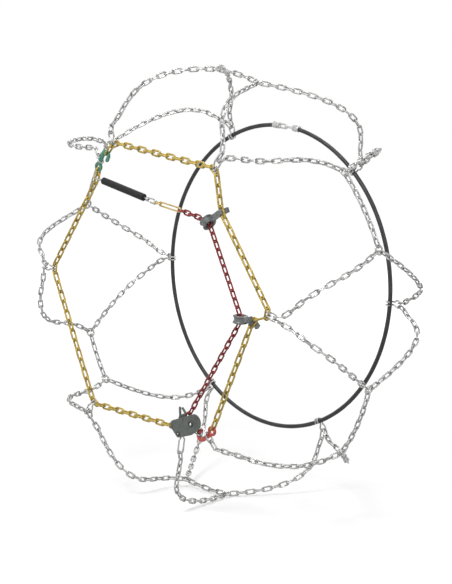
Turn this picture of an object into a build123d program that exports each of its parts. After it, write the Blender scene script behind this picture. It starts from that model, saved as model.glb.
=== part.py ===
from build123d import *
from collections import namedtuple
from math import asin, atan2, cos, degrees, pi, radians, sin, sqrt
import os

# Tire snow chain of the rim-chain kind, in the shape it takes on a mounted 225/60 R16 wheel.
# Millimetres. Origin at the wheel's centre, +Z up, the wheel turns about Y, the outer side faces -Y.
# The wheel itself isn't part of the product: its profile only lays the net out.

# ---- the wheel that the net is fitted to -------------------------------------------------------
tyre_radius = 338.8
tyre_half_width = 119.4
bulge_radius = 284.0
shoulder_power = 3.0
chain_lift = 0.6

# ---- chains: wire, link width over the wire, link spacing, play in each joint -------------------
ChainStyle = namedtuple("ChainStyle", "wire width pitch play")
cross_chain = ChainStyle(wire=2.7, width=9.4, pitch=13.0, play=0.45)
side_chain = ChainStyle(wire=3.2, width=11.0, pitch=16.5, play=0.35)
tension_chain = ChainStyle(wire=2.7, width=9.6, pitch=12.4, play=0.4)
corner_play = 0.75

# ---- tread rings and hooking hardware ----------------------------------------------------------
ring_flats = 17.0
ring_wire = 3.2
ring_height = 3.0
ring_play = 0.6
connector_wire = 2.6
connector_reach = 17.0
connector_play = 0.8
connector_neck_width = 7.6
connector_head_width = 13.8
connector_spread = 2.75
run_fan = 5.7
fan_reach = 11.0
hook_seat = 0.35
end_link_width = 12.6
end_link_wire = 2.8
end_link_inner = 14.5

# ---- planes of the two side ropes --------------------------------------------------------------
side_chain_y = -131.0
hoop_y = 128.0
hoop_radius = 250.0
hoop_wire_diameter = 7.0
hoop_segments = 44
round_sides = 14

# ---- corners of the outer side chain: angle from +X toward +Z, radius ---------------------------
corner_top_left = (113.8, 245.5)
corner_top_right = (57.0, 232.8)
corner_right = (358.5, 236.7)
corner_bottom_left = (231.5, 250.5)
corner_left = (176.8, 255.0)
upper_guide_corner = (43.3, 196.4)
lower_guide_corner = (353.6, 209.2)
tail_hook_corner = (130.6, 221.3)

# ---- tread rings: angle, distance inboard of the tread's middle, sag of the outer run in degrees, ---
# ---- what the outer run hooks on, and which bend of the inner hoop the inner run hooks on -------
RingPlace = namedtuple("RingPlace", "angle y sag front rear")
rings = [
    RingPlace(84.3, -36.0, -2.8, "top_left", "top"),
    RingPlace(69.7, -32.0, 3.1, "top_right", "upper_right"),
    RingPlace(34.6, -19.0, -5.5, "top_right", "upper_right"),
    RingPlace(14.1, 1.5, 2.5, "right", "right"),
    RingPlace(338.7, -1.5, 0.9, "right", "right"),
    RingPlace(316.9, 17.5, 8.3, "red_hook", "lower_right"),
    RingPlace(272.0, 5.0, -2.8, "tensioner", "lower_right"),
    RingPlace(257.0, 0.0, 11.0, "bottom_left", "bottom"),
    RingPlace(214.5, 0.0, -6.0, "bottom_left", "bottom"),
    RingPlace(200.0, 0.0, 8.5, "left", "left"),
    RingPlace(162.0, 0.0, -1.2, "left", "left"),
    RingPlace(142.0, 0.0, 6.5, "green_hook", "top"),
]
hoop_corners = {
    "top": 113.8, "upper_right": 47.0, "right": 356.0, "lower_right": 294.0, "bottom": 233.0, "left": 178.0,
}
hoop_seam_angle = 84.0
hoop_seam_gap = 9.0
sag_lean = 1.8
full_turn = 360.0
quarter_turn = 90.0

# ---- closing hooks, both the same part ---------------------------------------------------------
hook_thickness = 3.4
hook_eye_outer = 7.8
hook_eye_inner = 4.1
hook_waist = 7.0
hook_waist_at = 11.7
hook_length = 25.0
hook_throat = 4.0
hook_arm = 5.6
hook_tip_length = 4.5
hook_play = 0.9
green_hook_eye = (-139.0, 187.5)
green_hook_angle = 57.0
red_hook_eye = (121.0, -199.5)
red_hook_angle = 216.0

# ---- tensioner on the side chain: places are x, z from its main rivet ----------------------------
tensioner_rivet = (80.2, -194.6)
tensioner_plate = 1.8
front_lobe = (8.5, 4.0)
front_lobe_radius = 13.0
low_lobe = (-1.5, -11.4)
low_lobe_radius = 6.0
left_lobe = (-38.0, -7.5)
left_lobe_radius = 8.0
pin_lobe_radius = 6.0
back_lobe_radius = 6.5
small_lobe_radius = 4.2
rivet_diameter = 6.0
rivet_head_margin = 1.5
rivet_head_height = 1.4
rivet_play = 0.05
cross_pin_offset = (-28.3, -19.5)
chain_pin_offset = (-38.8, -11.5)
anchor_pin_offset = (-15.2, 4.5)
bail_pin_offset = (-4.0, -9.5)
pin_diameter = 3.6
cross_reach = 32.0
cross_heading = 260.0
bail_wire = 2.4
bail_play = 0.25
side_gap = 0.3
lever_thickness = 2.4
lever_root = 8.0
lever_tip_radius = 1.6
lever_prongs = [((5.6, 17.4), (4.8, 30.9)), ((18.5, 23.4), (11.0, 30.9))]

# ---- tension chain route and its guides: guide eyes and chain end, as x, z ----------------------
lower_eye = (185.2, -20.1)
upper_eye = (116.5, 118.0)
tail_start = (53.0, 132.0)
guide_bore = 13.4
guide_wall = 3.8
guide_sleeve = 9.6
guide_lip = 1.2
guide_arm = 9.0
guide_bite = 0.8
clip_wall = 3.2
clip_length = 7.0
clip_play = 0.5

# ---- elastic tail -------------------------------------------------------------------------------
rubber_outer_end = (-124.0, 166.3)
rubber_inner_end = (-26.0, 145.5)
rubber_diameter = 11.5
rubber_edge = 1.0
shank_diameter = 3.0
shank_depth = 22.0
tail_style = ChainStyle(wire=2.6, width=8.4, pitch=13.6, play=0.4)
swivel_reach = 25.2
swivel_inner = 14.0
swivel_width = 9.0
hook_bend_ahead = 8.0
hook_return = 2.0

# ---- inner hoop's coupling ----------------------------------------------------------------------
coupling_wire = 2.8
coupling_width = 9.0
coupling_play = 0.5
ferrule_diameter = 11.0
ferrule_behind = 9.0
ferrule_ahead = 4.0

outward = Vector(0, -1, 0)
inward = Vector(0, 1, 0)

# the plates are as far apart as the connector's neck and the bail round the hook need
bail_room = hook_thickness / 2 + bail_play + bail_wire
plate_inside = max(connector_neck_width / 2, bail_room) + side_gap
tensioner_depth = 2 * (plate_inside + tensioner_plate)


def on_wheel(angle, radius, y):
    """A point from its angle round the wheel, its radius and its place across the wheel."""
    return Vector(radius * cos(radians(angle)), y, radius * sin(radians(angle)))


def many_sided(radius):
    """A round section, drawn with flats."""
    return RegularPolygon(radius, round_sides)


# ---- routes -------------------------------------------------------------------------------------
class Route:
    """A line that chain is laid along: points, the surface normal at each, and the length so far."""

    def __init__(self, points, normals):
        self.points = points
        self.normals = normals
        self.lengths = [0.0]
        for before, after in zip(points, points[1:]):
            self.lengths.append(self.lengths[-1] + (after - before).length)

    @property
    def length(self):
        return self.lengths[-1]

    def at(self, distance):
        """The point and the normal at a distance along the route."""
        last = len(self.points) - 2
        step = 0
        while step < last and self.lengths[step + 1] < distance:
            step += 1
        share = (distance - self.lengths[step]) / (self.lengths[step + 1] - self.lengths[step])
        point = self.points[step] + (self.points[step + 1] - self.points[step]) * share
        normal = self.normals[step] + (self.normals[step + 1] - self.normals[step]) * share
        return point, normal.normalized()


def profile_point(turn, lift):
    """Across the wheel's superellipse: turn is -90 on the outer bulge, 0 on the tread, 90 inboard."""
    power = 2.0 / shoulder_power
    side = 1 if turn >= 0 else -1
    y = side * (tyre_half_width + lift) * abs(sin(radians(turn))) ** power
    radius = bulge_radius + (tyre_radius - bulge_radius + lift) * abs(cos(radians(turn))) ** power
    return y, radius


def turn_of(y, lift):
    """The profile's turn at a place across the wheel."""
    share = (abs(y) / (tyre_half_width + lift)) ** (shoulder_power / 2.0)
    turn = degrees(asin(share))
    return turn if y >= 0 else -turn


def turn_between(first, second):
    """The shorter way round the wheel from one angle to another, less than half a turn."""
    return (second - first + full_turn / 2) % full_turn - full_turn / 2


def sidewall_route(ring, side, fan, end, lift, steps=90):
    """From a tread ring over the shoulder and down the sidewall to a point on a side rope.

    fan is where the run's last pivot lies, so that two runs spread from one connector.
    """
    first = turn_of(ring.y, lift)
    fan_radius = sqrt(fan.X ** 2 + fan.Z ** 2)
    last = side * quarter_turn
    profile = [profile_point(first + (last - first) * i / steps, lift) for i in range(steps + 1)]
    line = [place for place in profile if place[1] > fan_radius + fan_reach / 2]
    line.append((fan.Y, fan_radius))
    lengths = [0.0]
    for before, after in zip(line, line[1:]):
        lengths.append(lengths[-1] + sqrt((after[0] - before[0]) ** 2 + (after[1] - before[1]) ** 2))
    sweep = turn_between(ring.angle, degrees(atan2(fan.Z, fan.X)))
    points = []
    normals = []
    for i, (y, radius) in enumerate(line):
        share = lengths[i] / lengths[-1]
        sag = ring.sag * sin(pi * share ** sag_lean) if side < 0 else 0.0
        angle = ring.angle + sweep * share + sag
        before = line[max(i - 1, 0)]
        after = line[min(i + 1, len(line) - 1)]
        run_y = after[0] - before[0]
        run_radius = after[1] - before[1]
        normal = Vector(-side * run_radius, 0, side * run_y)
        lean = Vector(normal.Z * cos(radians(angle)), normal.X, normal.Z * sin(radians(angle)))
        points.append(on_wheel(angle, radius, y))
        normals.append(lean.normalized())
    return Route(points + [end], normals + [normals[-1]])


def tread_route(ring_a, ring_b, lift, steps=24):
    """Round the tread from one ring to the next."""
    points = []
    normals = []
    sweep = turn_between(ring_a.angle, ring_b.angle)
    for i in range(steps + 1):
        share = i / steps
        y = ring_a.y + (ring_b.y - ring_a.y) * share
        radius = profile_point(turn_of(y, lift), lift)[1]
        angle = ring_a.angle + sweep * share
        points.append(on_wheel(angle, radius, y))
        normals.append(on_wheel(angle, 1.0, 0.0))
    return Route(points, normals)


# ---- chain links --------------------------------------------------------------------------------
def wire_link(inner_length, width, wire):
    """One closed link of square wire, lying in XY with its length along X."""
    outline = Rectangle(inner_length + 2 * wire, width)
    window = Rectangle(inner_length, width - 2 * wire)
    return extrude(outline - window, wire / 2, both=True)


def placed(shape, centre, along, facing):
    """The shape with its X along one direction and its Z as near as can be to another."""
    return Plane(origin=centre, x_dir=along, z_dir=facing).location * shape


def nearest_count(length, pitch, odd):
    """The number of links, odd or even, whose spacing comes nearest to the chain's own."""
    wanted = length / pitch
    low = 2 * int((wanted - odd) // 2) + odd
    return max(low if wanted - low <= 1 else low + 2, 1)


def links_along(route, style, start, stop, start_bar, end_bar, bars_flat, first_bar=False, odd=1):
    """Interlocked links between two distances on a route, with every other link turned on edge.

    Two links pivot on the end bar of one of them: bar links own the pivot, eye links hold it in
    their window. start_bar and end_bar are the bars outside the run that its last links go round,
    or None where the run's own bar lies in another link. bars_flat lays the bar links flat.
    """
    length = stop - start
    count = nearest_count(length, style.pitch, odd)
    owned = style.wire / 2
    held = -(style.play + style.wire / 2)
    reaches = []
    for i in range(count):
        inside = owned if (i % 2 == 0) == first_bar else held
        reaches.append([inside, inside])
    reaches[0][0] = owned if start_bar is None else -(start_bar.play + start_bar.size / 2)
    reaches[-1][1] = owned if end_bar is None else -(end_bar.play + end_bar.size / 2)
    inner = (length - sum(sum(pair) for pair in reaches)) / count
    link = wire_link(inner, style.width, style.wire)
    links = []
    distance = start
    for i, (before, after) in enumerate(reaches):
        span = inner + before + after
        a, normal_a = route.at(distance)
        b, normal_b = route.at(distance + span)
        along = (b - a).normalized()
        normal = normal_a + normal_b
        normal = (normal - along * normal.dot(along)).normalized()
        flat = ((i % 2 == 0) == first_bar) == bars_flat
        facing = normal if flat else along.cross(normal)
        centre = a + (b - a) * ((inner / 2 + before) / span)
        links.append(placed(link, centre, along, facing))
        distance += span
    return links


Bar = namedtuple("Bar", "size play")
connector_bar = Bar(connector_wire, connector_play)
ring_bar = Bar(ring_wire, ring_play)
cross_lift = cross_chain.width / 2 + chain_lift


# ---- rings and connectors -----------------------------------------------------------------------
def tread_ring():
    outer = RegularPolygon(ring_flats / 2, 8, major_radius=False)
    bore = RegularPolygon(ring_flats / 2 - ring_wire, 8, major_radius=False)
    return extrude(outer - bore, ring_height / 2, both=True)


def connector(bar, reach, neck_end):
    """Wire loop folded round a bar along Y. X runs out along it, and Z faces its longer side."""
    inner_face = bar / 2 + hook_seat
    outer_face = inner_face + connector_wire
    fold = Polyline(
        (-outer_face, outer_face),
        (reach + connector_wire / 2, outer_face),
        (reach + connector_wire / 2, inner_face),
        (-inner_face, inner_face),
        (-inner_face, -inner_face),
        (bar / 2, -inner_face),
        (bar / 2, -outer_face),
        (-outer_face, -outer_face),
        close=True,
    )
    strip = extrude(Plane.XZ * make_face(fold), connector_head_width / 2, both=True)
    tip = reach + connector_wire / 2
    shoulder = neck_end + (connector_head_width - connector_neck_width) / 2
    neck = connector_neck_width / 2
    head = connector_head_width / 2
    outline = Polyline(
        (-outer_face, -neck), (neck_end, -neck), (shoulder, -head), (tip, -head),
        (tip, head), (shoulder, head), (neck_end, neck), (-outer_face, neck), close=True,
    )
    opening = Polyline(
        (-outer_face, -(neck - connector_wire)), (neck_end, -(neck - connector_wire)),
        (shoulder, -(head - connector_wire)), (tip - connector_wire, -(head - connector_wire)),
        (tip - connector_wire, head - connector_wire), (shoulder, head - connector_wire),
        (neck_end, neck - connector_wire), (-outer_face, neck - connector_wire), close=True,
    )
    plan = extrude(make_face(outline), outer_face, both=True)
    window = Pos(0, 0, -inner_face) * extrude(make_face(opening), 2 * outer_face)
    return (strip & plan) - window


parts = {}


def keep(name, shapes):
    parts[name] = shapes if isinstance(shapes, list) else [shapes]


# ---- outer side chain ---------------------------------------------------------------------------
def direction_between(a, b):
    return (b - a).normalized()


def tensioner_point(offset):
    """A place between the tensioner's plates, from its main rivet."""
    return Vector(tensioner_rivet[0] + offset[0], side_chain_y, tensioner_rivet[1] + offset[1])


class Corner:
    """A flat link where a chain turns in its plane and something holds on."""

    def __init__(self, style, centre, before, after):
        self.style = style
        self.centre = centre
        self.inner = style.pitch + style.play
        self.along = (direction_between(before, centre) + direction_between(centre, after)).normalized()
        reach = self.inner / 2 - corner_play - style.wire / 2
        self.start = centre - self.along * reach
        self.end = centre + self.along * reach
        away = self.along.cross(outward)
        radial = Vector(centre.X, 0, centre.Z)
        self.away = away if away.dot(radial) > 0 else -away

    def link(self):
        shape = wire_link(self.inner, self.style.width, self.style.wire)
        return placed(shape, self.centre, self.along, outward)

    def side_bar(self, side=1):
        return self.centre + self.away * side * (self.style.width - self.style.wire) / 2


def hook_point(eye, angle, along, across):
    """A point of a closing hook from its own measures: along its length, and across to its back."""
    u = Vector(cos(radians(angle)), 0, sin(radians(angle)))
    v = Vector(-sin(radians(angle)), 0, cos(radians(angle)))
    return Vector(eye[0], side_chain_y, eye[1]) + u * along + v * across


hook_mean = hook_throat + hook_arm / 2
hook_back = 2.0
throat_centre = (hook_length, hook_back - hook_mean)

top_left = on_wheel(*corner_top_left, side_chain_y)
top_right = on_wheel(*corner_top_right, side_chain_y)
guide_up = on_wheel(*upper_guide_corner, side_chain_y)
right = on_wheel(*corner_right, side_chain_y)
guide_low = on_wheel(*lower_guide_corner, side_chain_y)
bottom_left = on_wheel(*corner_bottom_left, side_chain_y)
left = on_wheel(*corner_left, side_chain_y)
tail_hook = on_wheel(*tail_hook_corner, side_chain_y)
red_eye_centre = hook_point(red_hook_eye, red_hook_angle, 0, 0)
green_eye_centre = hook_point(green_hook_eye, green_hook_angle, 0, 0)
chain_pin = tensioner_point(chain_pin_offset)
green_throat = hook_point(green_hook_eye, green_hook_angle, *throat_centre)
red_throat = hook_point(red_hook_eye, red_hook_angle, *throat_centre)

corners = {
    "top_left": Corner(side_chain, top_left, green_throat, top_right),
    "top_right": Corner(side_chain, top_right, top_left, guide_up),
    "guide_up": Corner(side_chain, guide_up, top_right, right),
    "right": Corner(side_chain, right, guide_up, guide_low),
    "guide_low": Corner(side_chain, guide_low, right, red_eye_centre),
    "bottom_left": Corner(side_chain, bottom_left, chain_pin, left),
    "left": Corner(side_chain, left, bottom_left, tail_hook),
    "tail_hook": Corner(side_chain, tail_hook, left, green_eye_centre),
}
green_arm = green_throat + direction_between(green_throat, corners["top_left"].start) * hook_mean
eye_wall = hook_eye_outer - hook_eye_inner
eye_bar = Bar(eye_wall, hook_play)


def eye_wall_centre(eye_centre, toward):
    """The middle of a hook eye's wall on the side that a link pulls from."""
    return eye_centre + direction_between(eye_centre, toward) * (hook_eye_outer + hook_eye_inner) / 2


def straight_links(style, a, b, start_bar=None, end_bar=None, odd=1, first_bar=True):
    """Links of a chain pulled straight between two pivots in the side ropes' plane."""
    route = Route([a, b], [outward, outward])
    return links_along(
        route, style, 0.0, route.length, start_bar, end_bar, bars_flat=False, first_bar=first_bar, odd=odd,
    )


def side_links(a, b, start_bar=None, end_bar=None, odd=1, first_bar=True):
    return straight_links(side_chain, a, b, start_bar, end_bar, odd, first_bar)


red_eye_wall = eye_wall_centre(red_eye_centre, corners["guide_low"].end)
green_eye_wall = eye_wall_centre(green_eye_centre, corners["tail_hook"].end)
pin_bar = Bar(pin_diameter, side_chain.play)

keep("side_chain_top", [corners["top_left"].link()]
     + side_links(corners["top_left"].end, corners["top_right"].start))
keep("side_chain_upper_right", [corners["top_right"].link(), corners["guide_up"].link()]
     + side_links(corners["top_right"].end, corners["guide_up"].start)
     + side_links(corners["guide_up"].end, corners["right"].start))
keep("side_chain_lower_right", [corners["right"].link(), corners["guide_low"].link()]
     + side_links(corners["right"].end, corners["guide_low"].start)
     + side_links(corners["guide_low"].end, red_eye_wall, end_bar=eye_bar))
keep("side_chain_bottom", [corners["bottom_left"].link()]
     + side_links(chain_pin, corners["bottom_left"].start, start_bar=pin_bar, odd=0, first_bar=False))
keep("side_chain_lower_left", side_links(corners["bottom_left"].end, corners["left"].start))
keep("side_chain_upper_left", [corners["left"].link(), corners["tail_hook"].link()]
     + side_links(corners["left"].end, corners["tail_hook"].start)
     + side_links(corners["tail_hook"].end, green_eye_wall, end_bar=eye_bar))
keep("closing_link", side_links(green_arm, corners["top_left"].start,
                                start_bar=Bar(hook_arm, hook_play)))


# ---- closing hooks ------------------------------------------------------------------------------
def closing_hook():
    """Flat forged hook: closed eye, waist for a cross chain, open throat with a returned tip."""
    eye = Circle(hook_eye_outer)
    shank = Pos(hook_length / 2, hook_back) * Rectangle(hook_length, hook_waist)
    centre = Pos(*throat_centre)
    bend = centre * Circle(hook_throat + hook_arm)
    half = Pos(throat_centre[0] - hook_mean * 2, throat_centre[1]) * Rectangle(hook_mean * 4, hook_mean * 4)
    tip_at = (throat_centre[0] - hook_tip_length / 2, throat_centre[1] - hook_mean)
    tip = Pos(*tip_at) * Rectangle(hook_tip_length, hook_arm)
    tip_end = Pos(throat_centre[0] - hook_tip_length, tip_at[1]) * Circle(hook_arm / 2)
    throat = centre * Circle(hook_throat)
    outline = eye + shank + (bend - half) + tip + tip_end - throat - Circle(hook_eye_inner)
    return extrude(outline, hook_thickness / 2, both=True)


def hook_plane(eye, angle):
    u = Vector(cos(radians(angle)), 0, sin(radians(angle)))
    return Plane(origin=(eye[0], side_chain_y, eye[1]), x_dir=u, z_dir=outward)


hook_solid = closing_hook()
keep("green_hook", hook_plane(green_hook_eye, green_hook_angle).location * hook_solid)
keep("red_hook", hook_plane(red_hook_eye, red_hook_angle).location * hook_solid)


# ---- cross chains -------------------------------------------------------------------------------
def connector_at(seat, away, facing, bar, reach=connector_reach, neck_end=0.0):
    """A connector on its seat, and the point where a run leaves its outer bar."""
    frame = Plane(origin=seat, x_dir=away, z_dir=facing)
    lift = bar / 2 + hook_seat + connector_wire / 2
    tip = seat + away * reach + facing * lift
    neck_end = max(neck_end, bar / 2 + connector_wire)
    return frame.location * connector(bar, reach, neck_end), tip


ring_centres = []
ring_solids = []
ring_shape = tread_ring()
for ring in rings:
    centre_y, centre_radius = profile_point(turn_of(ring.y, cross_lift), cross_lift)
    centre = on_wheel(ring.angle, centre_radius, centre_y)
    ring_centres.append(centre)
    radial = on_wheel(ring.angle, 1.0, 0.0)
    ring_solids.append(placed(ring_shape, centre, inward, radial))
keep("tread_rings", ring_solids)

ring_middle = (ring_flats - ring_wire) / 2


def cross_run(ring, side, tip, away, around, share, odd=1):
    """The links from a tread ring to a connector; share is -1, 0 or 1 along its outer bar."""
    end = tip + around * share * connector_spread
    fan = tip + around * share * run_fan + away * fan_reach
    fan.Y = side * (tyre_half_width + cross_lift + abs(tip.Y)) / 2
    route = sidewall_route(ring, side, fan, end, cross_lift)
    return links_along(
        route, cross_chain, ring_middle, route.length, ring_bar, connector_bar, bars_flat=True, odd=odd,
    )


def keep_runs(held, label, side, seat, tip, away, around):
    """Keep the cross chains that one connector holds, side by side on its outer bar."""
    for number, ring in held:
        share = 0
        if len(held) > 1:
            share = 1 if (ring_centres[number - 1] - seat).dot(around) > 0 else -1
        keep(f"{label}_{number:02d}", cross_run(ring, side, tip, away, around, share))


numbered_rings = list(enumerate(rings, 1))
front_connectors = []
for name in ("top_left", "top_right", "right", "bottom_left", "left"):
    corner = corners[name]
    seat = corner.side_bar()
    solid, tip = connector_at(seat, corner.away, outward, side_chain.wire)
    front_connectors.append(solid)
    held = [(number, ring) for number, ring in numbered_rings if ring.front == name]
    keep_runs(held, "front_cross_chain", -1, seat, tip, corner.away, corner.along)

# the run under the tensioner has a longer connector, edge-on round a pin between the plates
cross_pin = tensioner_point(cross_pin_offset)
cross_away = on_wheel(cross_heading, 1.0, 0.0)
solid, tip = connector_at(
    cross_pin, cross_away, outward.cross(cross_away), pin_diameter, cross_reach, pin_lobe_radius + side_gap
)
front_connectors.append(solid)
for number, ring in numbered_rings:
    if ring.front == "tensioner":
        keep(f"front_cross_chain_{number:02d}", cross_run(ring, -1, tip, cross_away, outward, 0, odd=0))
keep("front_connectors", front_connectors)


def waist_run(ring, eye, angle):
    """A cross chain that ends in a wide link round a closing hook's waist."""
    waist = hook_point(eye, angle, hook_waist_at, hook_back)
    away = Vector(waist.X, 0, waist.Z).normalized()
    fan = waist + away * 2 * fan_reach
    fan.Y = -(tyre_half_width + cross_lift + abs(waist.Y)) / 2
    route = sidewall_route(ring, -1, fan, waist, cross_lift)
    waist_bar = Bar(hook_waist, hook_play)
    wide_inner = end_link_inner
    inset = wide_inner - waist_bar.play - waist_bar.size / 2 - cross_chain.play - cross_chain.wire / 2
    stop = route.length - inset
    links = links_along(
        route, cross_chain, ring_middle, stop, ring_bar, None, bars_flat=True, odd=0,
    )
    a, normal = route.at(stop)
    along = direction_between(a, waist)
    normal = (outward - along * outward.dot(along)).normalized()
    middle = wide_inner / 2 - cross_chain.play - cross_chain.wire / 2
    wide = wire_link(wide_inner, end_link_width, end_link_wire)
    links.append(placed(wide, a + along * middle, along, along.cross(normal)))
    return links


hook_places = {
    "green_hook": (green_hook_eye, green_hook_angle),
    "red_hook": (red_hook_eye, red_hook_angle),
}
for number, ring in numbered_rings:
    if ring.front in hook_places:
        keep(f"front_cross_chain_{number:02d}", waist_run(ring, *hook_places[ring.front]))

rear_connectors = []
for name, angle in hoop_corners.items():
    away = on_wheel(angle, 1.0, 0.0)
    around = away.cross(inward)
    seat = on_wheel(angle, hoop_radius, hoop_y)
    solid, tip = connector_at(seat, away, inward, hoop_wire_diameter)
    rear_connectors.append(solid)
    held = [(number, ring) for number, ring in numbered_rings if ring.rear == name]
    keep_runs(held, "rear_cross_chain", 1, seat, tip, away, around)
keep("rear_connectors", rear_connectors)

for number, (ring_a, ring_b) in enumerate(zip(rings[::2], rings[1::2]), 1):
    route = tread_route(ring_a, ring_b, cross_lift)
    keep(f"tread_chain_{number}", links_along(
        route, cross_chain, ring_middle, route.length - ring_middle, ring_bar, ring_bar, bars_flat=True,
    ))

# ---- tensioner ----------------------------------------------------------------------------------
tensioner_origin = tensioner_point((0.0, 0.0))
tensioner_frame = Plane(origin=tensioner_origin, x_dir=(1, 0, 0), z_dir=outward).location


def lobe(offset, radius):
    return Pos(*offset) * Circle(radius)


def hull_of(*lobes):
    """The flat shape that a band drawn tight round some discs encloses."""
    return make_hull([edge for disc in lobes for edge in disc.edges()])


def tensioner_sheet(*lobes):
    """A plate's outline with the holes that both plates share."""
    sheet = hull_of(*lobes) - many_sided(rivet_diameter / 2 + rivet_play)
    sheet -= lobe(chain_pin_offset, pin_diameter / 2 + rivet_play)
    for offset in (cross_pin_offset, anchor_pin_offset):
        sheet -= Pos(*offset) * many_sided(pin_diameter / 2 + rivet_play)
    return sheet - Pos(*bail_pin_offset) * many_sided(bail_wire / 2 + rivet_play)


def flush_pin(section):
    """Pin peened level with the outside of both plates."""
    return extrude(section, tensioner_depth / 2, both=True)


def rivet(diameter):
    """Pin through both plates with a low flared head outside each."""
    head_radius = diameter / 2 + rivet_head_margin
    rim = many_sided(head_radius)
    face = Pos(0, 0, rivet_head_height) * many_sided(head_radius - rivet_head_height)
    head = Pos(0, 0, tensioner_depth / 2) * loft([rim, face])
    return flush_pin(many_sided(diameter / 2)) + head + Rot(180, 0, 0) * head


front_sheet = tensioner_sheet(
    lobe(front_lobe, front_lobe_radius),
    lobe(low_lobe, low_lobe_radius),
    lobe(cross_pin_offset, pin_lobe_radius),
    lobe(left_lobe, left_lobe_radius),
)
back_sheet = tensioner_sheet(
    Circle(back_lobe_radius),
    lobe(bail_pin_offset, small_lobe_radius),
    lobe(cross_pin_offset, small_lobe_radius),
    lobe(chain_pin_offset, small_lobe_radius),
    lobe(anchor_pin_offset, small_lobe_radius),
)
front_plate = extrude(front_sheet, tensioner_plate)
back_plate = extrude(back_sheet, tensioner_plate)
keep("tensioner_front_plate", tensioner_frame * Pos(0, 0, plate_inside) * front_plate)
keep("tensioner_back_plate", tensioner_frame * Pos(0, 0, -tensioner_depth / 2) * back_plate)
keep("tensioner_rivets", [
    tensioner_frame * rivet(rivet_diameter),
    tensioner_frame * Pos(*cross_pin_offset) * rivet(pin_diameter),
    tensioner_frame * Pos(*chain_pin_offset) * flush_pin(Circle(pin_diameter / 2)),
    tensioner_frame * Pos(*anchor_pin_offset) * flush_pin(many_sided(pin_diameter / 2)),
])


def lever():
    """Locking lever: an arm from its eye on the pin, that ends in two prongs with a notch between."""
    root = Circle(lever_root / 2)
    feet = [lobe(foot, lever_tip_radius) for foot, tip in lever_prongs]
    blank = hull_of(root, *feet)
    for foot, tip in lever_prongs:
        blank += hull_of(lobe(foot, lever_tip_radius), lobe(tip, lever_tip_radius))
    return extrude(blank - Circle(pin_diameter / 2 + rivet_play), lever_thickness)


lever_seat = Pos(*chain_pin_offset, side_gap - plate_inside)
keep("tensioner_lever", tensioner_frame * lever_seat * lever())

bail_pin = tensioner_point(bail_pin_offset)
bail_along = direction_between(bail_pin, red_throat)
bail_inner = (red_throat - bail_pin).length - hook_throat + hook_play - bail_wire / 2
bail_loop = placed(
    wire_link(bail_inner, 2 * (plate_inside - side_gap), bail_wire),
    bail_pin + bail_along * (bail_inner + bail_wire) / 2, bail_along, bail_along.cross(outward),
)
bail_stub = tensioner_frame * Pos(*bail_pin_offset) * flush_pin(many_sided(bail_wire / 2))
keep("tensioner_bail", bail_loop + bail_stub)

# ---- tension chain ------------------------------------------------------------------------------
tail_y = side_chain_y - side_chain.wire / 2 - hook_seat - shank_diameter / 2


def tail_point(place):
    return Vector(place[0], tail_y, place[1])


lower_turn_at = tail_point(lower_eye)
upper_turn_at = tail_point(upper_eye)
tail_start_at = tail_point(tail_start)
chain_anchor = tensioner_point(anchor_pin_offset)
lower_turn = Corner(tension_chain, lower_turn_at, chain_anchor, upper_turn_at)
upper_turn = Corner(tension_chain, upper_turn_at, lower_turn_at, tail_start_at)

# a wide flat link holds the anchor pin, as a common one is too narrow for it
anchor_along = direction_between(chain_anchor, lower_turn.start)
anchor_hold = pin_diameter / 2 + tension_chain.play
anchor_link = placed(
    wire_link(end_link_inner, end_link_width, end_link_wire),
    chain_anchor + anchor_along * (end_link_inner / 2 - anchor_hold), anchor_along, outward,
)
anchor_pivot = chain_anchor + anchor_along * (
    end_link_inner - anchor_hold - tension_chain.play - tension_chain.wire / 2
)
keep("tension_chain_lower", [anchor_link, lower_turn.link()]
     + straight_links(tension_chain, anchor_pivot, lower_turn.start))
keep("tension_chain_middle", [upper_turn.link()]
     + straight_links(tension_chain, lower_turn.end, upper_turn.start))
keep("tension_chain_upper", straight_links(tension_chain, upper_turn.end, tail_start_at))


# ---- guides of the tension chain ---------------------------------------------------------------
def chain_guide(turn, corner):
    """Lipped sleeve that the tension chain runs through, on an arm clipped round a side-chain link."""
    seat = corner.side_bar(-1)
    outer = guide_bore / 2 + guide_wall
    barrel = extrude(many_sided(outer), guide_sleeve / 2, both=True)
    for end in (1, -1):
        lip = extrude(many_sided(outer + guide_lip), guide_lip / 2, both=True)
        barrel += Pos(0, 0, end * (guide_sleeve + guide_lip) / 2) * lip
    sleeve_frame = Plane(origin=turn.centre, z_dir=turn.along).location
    bore = extrude(many_sided(guide_bore / 2 / cos(pi / round_sides)), guide_sleeve, both=True)
    clip_hole = side_chain.wire + 2 * clip_play
    clip_outer = clip_hole + 2 * clip_wall
    clip_frame = Plane(origin=seat, x_dir=corner.away, z_dir=corner.along).location
    clip = clip_frame * extrude(Rectangle(clip_outer, clip_outer), clip_length / 2, both=True)
    hole = clip_frame * extrude(Rectangle(clip_hole, clip_hole), guide_arm, both=True)
    reach = Vector(seat.X - turn.centre.X, 0, seat.Z - turn.centre.Z).normalized()
    arm_from = turn.centre + reach * (guide_bore + guide_wall) / 2
    arm_to = seat - corner.away * (clip_outer / 2 - guide_bite)
    arm = extrude(Rectangle(guide_arm, guide_arm), (arm_to - arm_from).length)
    arm = Plane(origin=arm_from, x_dir=outward, z_dir=arm_to - arm_from).location * arm
    return sleeve_frame * barrel + arm + clip - hole - sleeve_frame * bore


keep("lower_guide", chain_guide(lower_turn, corners["guide_low"]))
keep("upper_guide", chain_guide(upper_turn, corners["guide_up"]))

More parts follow.
